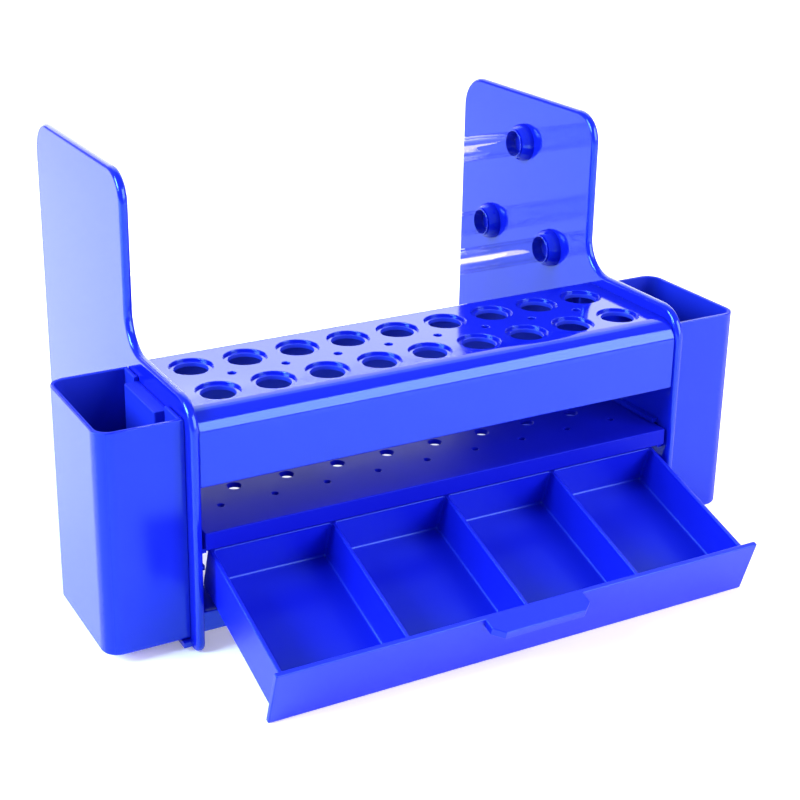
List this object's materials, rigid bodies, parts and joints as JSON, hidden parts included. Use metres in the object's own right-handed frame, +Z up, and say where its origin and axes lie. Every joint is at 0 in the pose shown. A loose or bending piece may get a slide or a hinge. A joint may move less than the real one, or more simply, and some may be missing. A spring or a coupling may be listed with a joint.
{
  "type": "hobby workstation organizer",
  "caption": "Bench organizer with stepped side plates, a holed tool rack, a holed shelf, a drawn-out divided drawer, hanging cups and clear spool tubes.",
  "frame": {"origin": "on the ground under the middle of the whole part, with its drawer drawn out", "axes": "+X to the right side, +Y to the back where the tall parts of the plates are, +Z up"},
  "size_m": [0.3286, 0.2722, 0.1957],
  "materials": {
    "blue_abs": "high gloss",
    "clear_acrylic": "clear polished",
    "screw_steel": "zinc plated"
  },
  "bodies": {
    "rack": {"left_side_plate": "blue_abs", "right_side_plate": "blue_abs", "tool_rack": "blue_abs", "middle_shelf": "blue_abs", "base_frame": "blue_abs", "left_upper_socket": "blue_abs", "left_front_socket": "blue_abs", "left_rear_socket": "blue_abs", "right_upper_socket": "blue_abs", "right_front_socket": "blue_abs", "right_rear_socket": "blue_abs", "upper_spool_tube": "clear_acrylic", "front_spool_tube": "clear_acrylic", "rear_spool_tube": "clear_acrylic", "rack_screws": "screw_steel", "base_screws": "screw_steel"},
    "drawer": {"drawer": "blue_abs", "drawer_pull": "blue_abs"},
    "left_cup": {"left_cup": "blue_abs"},
    "right_cup": {"right_cup": "blue_abs"}
  },
  "joints": [
    {"name": "drawer_tip", "type": "hinge", "parent": "rack", "child": "drawer", "pos_m": [0, -0.02421, -0.18635], "axis": [-1, 0, 0], "range_deg": [0, 17.6]},
    {"name": "left_cup_lift", "type": "slide", "parent": "rack", "child": "left_cup", "axis": [0, 0, 1], "range_m": [0, 0.1]},
    {"name": "right_cup_lift", "type": "slide", "parent": "rack", "child": "right_cup", "axis": [0, 0, 1], "range_m": [0, 0.1]}
  ]
}
